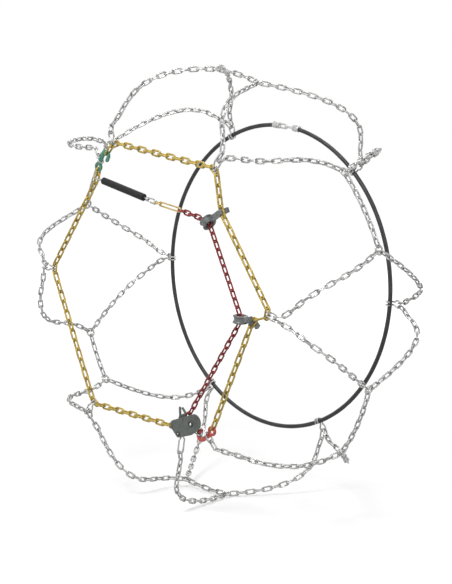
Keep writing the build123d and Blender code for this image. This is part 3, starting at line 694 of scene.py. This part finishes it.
# %% [markdown]
# ## Forged hooks and pressed plates
#
# A forged hook has soft corners, since the steel flows into the dies, and a pressed plate has slightly
# rolled ones. Their outlines are right in the frame, so the copy keeps the outline and its long
# edges are rounded. Drawing them anew would only risk the fit of the holes.

# %% Copy a node with its edges rounded
SAME_CORNER = 1e-6
LEVEL_ANGLE = 1.0
CRISP_ANGLE = 50.0
FORGED_EDGE = 0.0012
PRESSED_EDGE = 0.0005
LEVER_EDGE = 0.0006


def rounded_copy(node, name, material, slot, rounding, body="net", segments=3):
    """A node's own outline with its crisp edges bevelled round."""
    mesh = bmesh.new()
    mesh.from_mesh(nodes[node].data)
    bmesh.ops.remove_doubles(mesh, verts=mesh.verts, dist=SAME_CORNER)
    bmesh.ops.dissolve_limit(
        mesh, angle_limit=radians(LEVEL_ANGLE), verts=mesh.verts, edges=mesh.edges,
    )
    crisp = [
        edge for edge in mesh.edges
        if edge.is_manifold and edge.calc_face_angle() > radians(CRISP_ANGLE)
    ]
    bmesh.ops.bevel(
        mesh, geom=crisp, offset=rounding, segments=segments, profile=0.5, affect="EDGES",
        clamp_overlap=True,
    )
    bmesh.ops.triangulate(mesh, faces=[face for face in mesh.faces if len(face.verts) > 4])
    faces = len(mesh.faces)
    object_from(mesh, name, [material], slot, node, body=body, sharp=CRISP_ANGLE)
    return faces


made = {
    "green hook": rounded_copy(
        "green_hook", "green_hook_forged", green_paint, "green_hook", FORGED_EDGE, segments=4),
    "red hook": rounded_copy(
        "red_hook", "red_hook_forged", red_paint, "red_hook", FORGED_EDGE, segments=4),
    "front plate": rounded_copy(
        "tensioner_front_plate", "front_plate_pressed", plate_paint, "tensioner_plate", PRESSED_EDGE),
    "back plate": rounded_copy(
        "tensioner_back_plate", "back_plate_pressed", plate_paint, "tensioner_plate", PRESSED_EDGE),
    "lever": rounded_copy(
        "tensioner_lever", "locking_lever_pressed", lever_paint, "lever_steel", LEVER_EDGE,
        body="locking_lever"),
}
print("faces:", made)

# %% [markdown]
# ## The tensioner's pins and bail
#
# The main rivet and the smaller one under it are hollow at the end and rolled over. Each rolled rim
# is painted near black as painted shade, round a hole of bright bare steel. The other two pins are
# peened level with the plates. All are turned shapes, and a lathe profile is the plainest way to
# show a rolled lip.

# %% Turn the rivets and the flush pins
MAIN_HEAD = 0.0045
MAIN_SHANK = 0.0030
SMALL_HEAD = 0.0033
HEAD_HEIGHT = 0.0014
HEAD_SEAT = 0.0006
HOLE_FROM = 6
PEENED_SHARE = 0.38
PEENED_EDGE = 0.0005
front_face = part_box("tensioner_front_plate")[0][1]
rear_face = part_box("tensioner_back_plate")[1][1]
middle_y = (front_face + rear_face) / 2
half_depth = (rear_face - front_face) / 2


def rivet_profile(head, shank):
    """One end of a rolled hollow rivet: out over the rim and down into the hole."""
    return [
        (shank, half_depth - HEAD_SEAT), (head * 0.97, half_depth),
        (head, half_depth + HEAD_HEIGHT * 0.35),
        (head * 0.93, half_depth + HEAD_HEIGHT * 0.75), (head * 0.80, half_depth + HEAD_HEIGHT),
        (head * 0.66, half_depth + HEAD_HEIGHT * 0.92), (head * 0.58, half_depth + HEAD_HEIGHT * 0.3),
        (head * 0.54, half_depth), (head * 0.36, half_depth + HEAD_HEIGHT * 0.55),
    ]


rivets = bmesh.new()
for pin, head, shank in (
    (main_pin, MAIN_HEAD, MAIN_SHANK), (cross_pin, SMALL_HEAD, PIN_DIAMETER / 2),
):
    for facing in (OUTWARD, INWARD):
        origin = Vector((pin.x, middle_y, pin.z))
        outline = [(shank, 0.0)] + rivet_profile(head, shank)
        # Steps up to HOLE_FROM, the shank and the rolled rim, take the near-black painted shade; the
        # hole beyond is bare steel.
        lathe(rivets, origin, facing, outline, paint=lambda step: step > HOLE_FROM)
peened = [
    (PIN_DIAMETER * PEENED_SHARE, -half_depth), (PIN_DIAMETER / 2, PEENED_EDGE - half_depth),
    (PIN_DIAMETER / 2, half_depth - PEENED_EDGE), (PIN_DIAMETER * PEENED_SHARE, half_depth),
]
for pin in (chain_pin, anchor_pin):
    lathe(rivets, Vector((pin.x, middle_y, pin.z)), INWARD, peened, paint=lambda step: 2)
object_from(
    rivets, "tensioner_rivets_turned", [rim_painted_shade, rivet_steel, plate_paint], "rivet_steel",
    "tensioner_rivets",
)
print("4 pins turned, plates", round(half_depth * 2000, 1), "mm over both")

# %% Bend the bail that holds the red hook
BAIL_WIRE = 0.0024
BAIL_BEND = 0.0024
BAIL_SPREAD = 0.0045
PLATE_THICKNESS = 0.0018
SIDE_GAP = 0.0003
FAR_SHARE = 0.98
STUB_SHARE = 0.4
STUB_EDGE = 0.0004
bail_points = solids_of("tensioner_bail")[0]
stub_y = min(point.y for point in bail_points)
stub = middle_of([point for point in bail_points if point.y < stub_y + 1e-5])
bail_pin = Vector((stub.x, middle_y, stub.z))
offsets = [Vector((point.x, middle_y, point.z)) - bail_pin for point in bail_points]
bail_reach = max(offset.length for offset in offsets)
far_offsets = [offset for offset in offsets if offset.length > bail_reach * FAR_SHARE]
bail_along = middle_of(far_offsets).normalized()
bail_half = min(half_depth - PLATE_THICKNESS - SIDE_GAP, BAIL_SPREAD) - BAIL_WIRE / 2
far = bail_reach - BAIL_WIRE / 2
bail = bmesh.new()
loop = [
    bail_pin + bail_along * reach + INWARD * across
    for reach, across in ((0, bail_half), (far, bail_half), (far, -bail_half), (0, -bail_half))
]
sweep_wire(bail, bent_line(loop, BAIL_BEND, closed=True), lambda i, k: BAIL_WIRE / 2)
pin_end = [(BAIL_WIRE * STUB_SHARE, -half_depth), (BAIL_WIRE / 2, STUB_EDGE - half_depth)]
bail_stub = pin_end + [(radius, -reach) for radius, reach in reversed(pin_end)]
lathe(bail, bail_pin, INWARD, bail_stub, steps=20, paint=lambda step: 1)
object_from(bail, "bail_wire", [bright_zinc, plate_paint], "connector_zinc", "tensioner_bail")
print("bail:", round(bail_reach * 1000, 1), "mm long,", round(bail_half * 2000, 1), "mm between wires")

# %% [markdown]
# ## Cast guides
#
# Two cast guides turn the tension chain: a lipped barrel that the chain runs through, and a claw
# that is clamped round a side-chain link. The simple shapes are joined and cut with booleans, then a
# fine voxel remesh and a little smoothing turn the hard joints into the soft corners of a casting.

# %% Tools for joining and cutting
def plain_piece(fill):
    """A temporary object whose mesh is filled by a function."""
    mesh = bmesh.new()
    fill(mesh)
    bmesh.ops.recalc_face_normals(mesh, faces=mesh.faces)
    data = bpy.data.meshes.new("blank")
    mesh.to_mesh(data)
    mesh.free()
    piece = bpy.data.objects.new("blank", data)
    bpy.context.scene.collection.objects.link(piece)
    return piece


def block(origin, turn, size):
    """A function that fills a mesh with a block: its middle, its axes and its sides."""
    place = Matrix.Translation(origin) @ turn.to_4x4() @ Matrix.Diagonal((*size, 1.0))
    return lambda mesh: bmesh.ops.create_cube(mesh, size=1.0, matrix=place)


def shaped(piece):
    """The mesh of a piece with its modifiers in it."""
    return bpy.data.meshes.new_from_object(piece.evaluated_get(bpy.context.evaluated_depsgraph_get()))


def combine(base, tool, operation):
    """Joins a tool to a base or cuts it out, and removes the tool."""
    change = base.modifiers.new("change", "BOOLEAN")
    change.operation = operation
    change.solver = "EXACT"
    change.object = tool
    data = shaped(base)
    base.modifiers.clear()
    base.data = data
    bpy.data.objects.remove(tool)


print("joining and cutting tools ready")

# %% The guide's parts: barrel, arm and claw
BORE_RADIUS = 0.0067
MOUTH_RADIUS = 0.0080
GUIDE_HALF = 0.0060
BARREL_CORE = 0.0030
BARREL_FACE = 0.0104
LIP_RADIUS = 0.0115
BARREL = [
    (BARREL_CORE, -GUIDE_HALF), (BARREL_FACE, -GUIDE_HALF), (LIP_RADIUS, -0.0053),
    (LIP_RADIUS, -0.0042), (0.0101, -0.0027), (0.0097, 0.0), (0.0101, 0.0027),
    (LIP_RADIUS, 0.0042), (LIP_RADIUS, 0.0053), (BARREL_FACE, GUIDE_HALF), (BARREL_CORE, GUIDE_HALF),
]
BORE = [
    (MOUTH_RADIUS, -2 * GUIDE_HALF), (MOUTH_RADIUS, -0.0056), (BORE_RADIUS, -0.0042),
    (BORE_RADIUS, 0.0042), (MOUTH_RADIUS, 0.0056), (MOUTH_RADIUS, 2 * GUIDE_HALF),
]
ARM_SIDE = 0.0088
ARM_NARROWING = 0.9
ARM_START = 1.25
ARM_END = 0.55
CLAW_RADIUS = 0.0062
CLAW_HALF = 0.0038
CLAW_BORE = 0.0021
CLAW_CORE = 0.0005
TONGUE_DEPTH = 0.0046
LIP_THICKNESS = 0.0038
LIP_INSET = 0.0002
VOXEL = 0.00035
SMOOTHING = 10


def add_tongue(body, link, outer):
    """The clip passes behind the link and turns up outside its far bar."""
    middle, long, wide, thin = link
    behind = (thin.length + TONGUE_DEPTH) / 2 + CONNECTOR_SEAT
    reach = wide.length / 2 + CONNECTOR_SEAT + LIP_THICKNESS
    turn = axes_matrix(outer, OUTWARD)
    tongue = middle + INWARD * behind + outer * (reach - wide.length / 2) / 2
    combine(body, plain_piece(block(
        tongue, turn, (reach + wide.length / 2, 2 * CLAW_HALF, TONGUE_DEPTH))), "UNION")
    lip = middle + outer * (reach - LIP_THICKNESS / 2) + INWARD * (behind / 2 + TONGUE_DEPTH / 4)
    combine(body, plain_piece(block(
        lip, turn,
        (LIP_THICKNESS, 2 * CLAW_HALF - LIP_INSET, behind + TONGUE_DEPTH / 2 - LIP_INSET))), "UNION")


print("guide parts named")

# %% Cast a guide round the tension chain and its clip
def cast_guide(node, name):
    """A guide between the tension chain and the flat side-chain link nearest to it."""
    box_low, box_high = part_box(node)
    about = (Vector(box_low) + Vector(box_high)) / 2
    turn_at, turn_along = flat_link_near(about, tension_links)[:2]
    clipped = flat_link_near(about, side_links)
    middle, long, wide, thin = clipped
    inner = wide.normalized() if wide.dot(turn_at - middle) > 0 else -wide.normalized()
    bar = middle + inner * (wide.length - thin.length) / 2
    level = Vector((turn_at.x - bar.x, 0, turn_at.z - bar.z)).normalized()
    start = turn_at - level * BORE_RADIUS * ARM_START
    stop = bar + inner * CLAW_RADIUS * ARM_END
    arm_size = ((stop - start).length, ARM_SIDE * ARM_NARROWING, ARM_SIDE)
    arm_turn = axes_matrix(stop - start, OUTWARD)
    body = plain_piece(lambda mesh: lathe(mesh, turn_at, turn_along, BARREL))
    combine(body, plain_piece(block((start + stop) / 2, arm_turn, arm_size)), "UNION")
    claw = [
        (CLAW_CORE, -CLAW_HALF), (CLAW_RADIUS, -CLAW_HALF), (CLAW_RADIUS, CLAW_HALF),
        (CLAW_CORE, CLAW_HALF),
    ]
    combine(body, plain_piece(lambda mesh: lathe(mesh, bar, long, claw)), "UNION")
    add_tongue(body, clipped, -inner)
    hole = [(CLAW_BORE, -3 * CLAW_HALF), (CLAW_BORE, 3 * CLAW_HALF)]
    for held in (bar, bar - inner * (wide.length - thin.length)):
        combine(body, plain_piece(lambda mesh: lathe(mesh, held, long, hole)), "DIFFERENCE")
    combine(body, plain_piece(lambda mesh: lathe(mesh, turn_at, turn_along, BORE)), "DIFFERENCE")
    skin = body.modifiers.new("skin", "REMESH")
    skin.mode = "VOXEL"
    skin.voxel_size = VOXEL
    soften = body.modifiers.new("soften", "SMOOTH")
    soften.factor = 0.5
    soften.iterations = SMOOTHING
    cast = bmesh.new()
    cast.from_mesh(shaped(body))
    bpy.data.objects.remove(body)
    faces = len(cast.faces)
    object_from(cast, name, [cast_grey], "guide_grey", node, sharp=180.0)
    return faces


print("lower guide:", cast_guide("lower_guide", "lower_guide_cast"), "faces")
print("upper guide:", cast_guide("upper_guide", "upper_guide_cast"), "faces")

# %% [markdown]
# ## The elastic tail
#
# A solid rubber rod pulls the end of the tension chain. It has a wire eye moulded in one end and a
# wire hook in the other. The rod is turned, with a rounded lip and a groove at each end from its
# mould, and both wires are swept: the eye closes with two turns round its own shank.

# %% Turn the rubber rod
rod_points = solids_of("tail_rubber")[0]
rod_middle = middle_of(rod_points).x
rod_in = middle_of([point for point in rod_points if point.x > rod_middle])
rod_out = middle_of([point for point in rod_points if point.x <= rod_middle])
rod_along = (rod_out - rod_in).normalized()
places = [(point - rod_in).dot(rod_along) for point in rod_points]
rod_start = rod_in + rod_along * min(places)
rod_length = max(places) - min(places)
ROD = 0.00575
GROOVE = ROD * 0.94
rod_end = [
    (0.0016, 0.0012), (0.0030, 0.0006), (0.0044, 0.0), (0.0052, 0.0004), (ROD, 0.0012),
    (ROD, 0.0040), (GROOVE, 0.0048), (GROOVE, 0.0056), (ROD, 0.0064), (ROD, 0.0072),
]
rod_profile = rod_end + [(radius, rod_length - reach) for radius, reach in reversed(rod_end)]
rod = bmesh.new()
lathe(rod, rod_start, rod_along, rod_profile)
object_from(rod, "rubber_rod", [black_rubber], "rubber_black", "tail_rubber")
print("rubber rod", round(rod_length * 1000, 1), "mm long")

# %% Bend the eye
TAIL_WIRE = 0.0026
TAIL_BEND = 0.0032
EYE_ROOT = 0.012
EYE_HALF = 0.0032
EYE_NEAR = 0.0116
EYE_FAR = 0.0282
EYE_SLOPE = 0.003
SHANK_STOP = 0.002
SHANK_SIDE = 0.0012
COIL_BACK = 0.0015
COIL_RADIUS = 0.0024
COIL_PITCH = 0.0026
COIL_SIDES = 12
COIL_STEPS = 26
eye_turn = axes_matrix(-rod_along, OUTWARD)
eye_bends = [
    (-EYE_ROOT, 0), (EYE_NEAR - SHANK_STOP, 0), (EYE_NEAR + EYE_SLOPE, EYE_HALF), (EYE_FAR, EYE_HALF),
    (EYE_FAR, -EYE_HALF), (EYE_NEAR + EYE_SLOPE, -EYE_HALF), (EYE_NEAR, -SHANK_SIDE),
]
eye_line = bent_line([rod_start + eye_turn @ Vector((u, v, 0)) for u, v in eye_bends], TAIL_BEND)
for step in range(COIL_STEPS):
    turn = 2 * pi * step / COIL_SIDES
    back = EYE_NEAR - COIL_BACK - COIL_PITCH * step / COIL_SIDES
    wrap = Vector((back, -cos(turn) * COIL_RADIUS, sin(turn) * COIL_RADIUS))
    eye_line.append(rod_start + eye_turn @ wrap)
eye = bmesh.new()
sweep_wire(eye, eye_line, lambda i, k: TAIL_WIRE / 2, closed=False)
object_from(eye, "tail_eye_wire", [bright_zinc], "connector_zinc", "tail_swivel_eye")
print("eye bent in", len(eye_line), "steps")

# %% Bend the hook
HOOK_WIRE = 0.0030
HOOK_ROOT = 0.014
HOOK_SHANK = 0.008
HOOK_TIP = 0.002
rod_stop = rod_start + rod_along * rod_length
middle, long, wide, thin = flat_link_near(rod_stop, side_links)
radial = wide.normalized() if wide.dot(middle) > 0 else -wide.normalized()
held = middle - radial * (wide.length - thin.length) / 2
gap = SIDE_WIRE / 2 + CONNECTOR_SEAT + HOOK_WIRE / 2
hook_bends = [
    rod_stop - rod_along * HOOK_ROOT, rod_stop + rod_along * HOOK_SHANK,
    held + radial * gap + OUTWARD * gap, held + radial * gap + INWARD * gap,
    held - radial * HOOK_TIP + INWARD * gap,
]
tail_hook = bmesh.new()
sweep_wire(tail_hook, bent_line(hook_bends, TAIL_BEND), lambda i, k: HOOK_WIRE / 2, closed=False)
object_from(tail_hook, "tail_hook_wire", [bright_zinc], "connector_zinc", "tail_hook")
print("the hook holds a link at", [round(c * 1000, 1) for c in held])

# %% [markdown]
# ## The inner hoop and its coupling
#
# The hoop is a wire rope in a plastic sheath. The six strands under the sheath show as shallow
# spiral ridges, which the sweep draws by changing the radius round the tube. A bump could fake them,
# but then the outline would stay smooth. Two crimped ferrules with a link each close the hoop.

# %% Sweep the sheathed rope
SEAM_ANGLE = 84.0
SEAM_GAP = 9.0
HOOP_STEPS = 480
STRANDS = 6
LAY_TURNS = 46
RIDGE = 0.07
RIDGE_TOP = 0.99
HOOP_SIDES = 24


def on_hoop(angle):
    """The hoop's middle line at an angle from +X towards +Z."""
    return Vector((cos(radians(angle)), 0, sin(radians(angle)))) * HOOP_RADIUS + INWARD * hoop_y


def strand_radius(i, k):
    """The sheath dips between strands, which wind round the rope."""
    turn = 2 * pi * (k / HOOP_SIDES - LAY_TURNS * i / HOOP_STEPS / STRANDS)
    return HOOP_DIAMETER / 2 * (RIDGE_TOP - RIDGE * (1 - abs(cos(STRANDS * turn / 2))))


hoop_ends = (SEAM_ANGLE + SEAM_GAP / 2, SEAM_ANGLE - SEAM_GAP / 2 + 360.0)
hoop_line = [
    on_hoop(hoop_ends[0] + (hoop_ends[1] - hoop_ends[0]) * i / HOOP_STEPS)
    for i in range(HOOP_STEPS + 1)
]
hoop = bmesh.new()
sweep_wire(hoop, hoop_line, strand_radius, closed=False, sides=HOOP_SIDES)
object_from(hoop, "inner_hoop_rope", [cable_sheath], "hoop_cable", "inner_hoop", sharp=180.0)
print("hoop of", len(hoop_line), "steps")

# %% Crimp the ferrules and close the seam
COUPLING_WIRE = 0.0028
COUPLING_WIDTH = 0.0090
COUPLING_PLAY = 0.0005
FERRULE = 0.0054
FERRULE_BEHIND = 0.009
FERRULE_AHEAD = 0.004
first_end = on_hoop(hoop_ends[0])
last_end = on_hoop(hoop_ends[1])
FERRULE_HOLE = 0.0034
CRIMP = FERRULE * 0.86
ferrule_profile = [
    (FERRULE_HOLE, -FERRULE_BEHIND), (FERRULE * 0.93, -FERRULE_BEHIND), (FERRULE, -0.0083),
    (FERRULE, -0.0062), (CRIMP, -0.0054), (CRIMP, -0.0038), (FERRULE, -0.0030), (FERRULE, -0.0010),
    (CRIMP, -0.0002), (CRIMP, 0.0014), (FERRULE, 0.0022), (FERRULE * 0.97, 0.0034),
    (FERRULE * 0.80, FERRULE_AHEAD),
]
for node, name, end, other, across in (
    ("hoop_coupling_eye", "hoop_eye_crimped", first_end, last_end, False),
    ("hoop_coupling_hook", "hoop_hook_crimped", last_end, first_end, True),
):
    along = (other - end).normalized()
    far_bar = ((other - end).length + COUPLING_WIRE + COUPLING_PLAY) / 2
    inner = far_bar - COUPLING_WIRE / 2 - FERRULE_AHEAD
    facing = along.cross(INWARD) if across else INWARD
    turn = axes_matrix(along, facing)
    fitting = bmesh.new()
    lathe(fitting, end, along, ferrule_profile)
    add_link(
        fitting, end + along * (FERRULE_AHEAD + inner / 2), turn.col[0] * (inner + 2 * COUPLING_WIRE),
        turn.col[1] * COUPLING_WIDTH, turn.col[2] * COUPLING_WIRE,
    )
    object_from(fitting, name, [rivet_steel], "ferrule_steel", node)
print("seam closed across", round((first_end - last_end).length * 1000, 1), "mm")

# %% [markdown]
# ## Floor and background
#
# The net is shown on a plain white floor that fades into a white background. The world is white to
# the camera and in reflections, and a soft grey for the light that it gives. The floor adds the same
# kind of white on top of its own shade, which keeps the shadow. More lamps would also whiten the
# floor, but they would bleach the metal.

# %% A white that only the camera and reflections see
def seen_directly(tree, hidden, seen):
    """A strength for rays from the camera, a reflection or glass, and another for all other light."""
    rays = tree.nodes.new("ShaderNodeLightPath")
    mirror = add_node(tree, "ShaderNodeMath", operation="MAXIMUM")
    either = add_node(tree, "ShaderNodeMath", operation="MAXIMUM")
    strength = add_node(tree, "ShaderNodeMapRange")
    strength.inputs["To Min"].default_value = hidden
    strength.inputs["To Max"].default_value = seen
    tree.links.new(rays.outputs["Is Camera Ray"], mirror.inputs[0])
    tree.links.new(rays.outputs["Is Glossy Ray"], mirror.inputs[1])
    tree.links.new(mirror.outputs[0], either.inputs[0])
    tree.links.new(rays.outputs["Is Transmission Ray"], either.inputs[1])
    tree.links.new(either.outputs[0], strength.inputs["Value"])
    return strength.outputs["Result"]


WHITE = (1.0, 1.0, 1.0, 1.0)
WORLD_LIGHT = 0.40
WORLD_SEEN = 1.0
world = bpy.data.worlds.new("studio")
world.use_nodes = True
bpy.context.scene.world = world
background = world.node_tree.nodes["Background"]
background.inputs["Color"].default_value = WHITE
world.node_tree.links.new(
    seen_directly(world.node_tree, WORLD_LIGHT, WORLD_SEEN), background.inputs["Strength"],
)
print("world ready")

# %% Lay the floor
FLOOR_SHADE = 0.55
NEAR_GLOW = 0.40
FAR_GLOW = 0.78
GLOW_FROM = 0.5
GLOW_TO = 2.6
FLOOR_GAP = 0.0005
FLOOR_HALF = 6.0
FLOOR_ROUGHNESS = 0.9
floor_mesh = bmesh.new()
bmesh.ops.create_grid(floor_mesh, x_segments=1, y_segments=1, size=FLOOR_HALF)
floor_data = bpy.data.meshes.new("floor")
floor_mesh.to_mesh(floor_data)
floor_mesh.free()
floor = bpy.data.objects.new("floor", floor_data)
floor.location.z = cad_box[0][2] - FLOOR_GAP
bpy.context.scene.collection.objects.link(floor)
floor_finish = bpy.data.materials.new("pale_floor")
floor_finish.use_nodes = True
floor_tree = floor_finish.node_tree
floor_shader = floor_tree.nodes["Principled BSDF"]
floor_shader.inputs["Base Color"].default_value = (FLOOR_SHADE, FLOOR_SHADE, FLOOR_SHADE, 1.0)
floor_shader.inputs["Roughness"].default_value = FLOOR_ROUGHNESS
floor_shader.inputs["Specular IOR Level"].default_value = 0.0
floor_shader.inputs["Emission Color"].default_value = WHITE
ground = floor_tree.nodes.new("ShaderNodeTexCoord")
distance = add_node(floor_tree, "ShaderNodeVectorMath", operation="LENGTH")
glow = add_node(floor_tree, "ShaderNodeMapRange", interpolation_type="SMOOTHSTEP")
for label, value in (
    ("From Min", GLOW_FROM), ("From Max", GLOW_TO), ("To Min", NEAR_GLOW), ("To Max", FAR_GLOW),
):
    glow.inputs[label].default_value = value
shown = add_node(floor_tree, "ShaderNodeMath", operation="MULTIPLY")
floor_tree.links.new(ground.outputs["Object"], distance.inputs[0])
floor_tree.links.new(distance.outputs["Value"], glow.inputs["Value"])
floor_tree.links.new(glow.outputs["Result"], shown.inputs[0])
floor_tree.links.new(seen_directly(floor_tree, 0.0, 1.0), shown.inputs[1])
floor_tree.links.new(shown.outputs[0], floor_shader.inputs["Emission Strength"])
floor_data.materials.append(floor_finish)
print("floor at", round(floor.location.z, 4))


# %% Soft lamps
def area_lamp(name, azimuth, elevation, distance, size, power):
    """A soft square lamp that faces the object."""
    data = bpy.data.lights.new(name, "AREA")
    data.size = size
    data.energy = power
    lamp = bpy.data.objects.new(name, data)
    direction = toward_camera(azimuth, elevation)
    lamp.location = direction * distance
    lamp.rotation_euler = direction.to_track_quat("Z", "Y").to_euler()
    bpy.context.scene.collection.objects.link(lamp)


area_lamp("key", azimuth=5.0, elevation=52.0, distance=2.6, size=1.0, power=55.0)
area_lamp("fill", azimuth=90.0, elevation=25.0, distance=2.8, size=1.6, power=18.0)
area_lamp("back", azimuth=205.0, elevation=45.0, distance=2.8, size=1.6, power=28.0)
print(len(bpy.data.lights), "lamps")
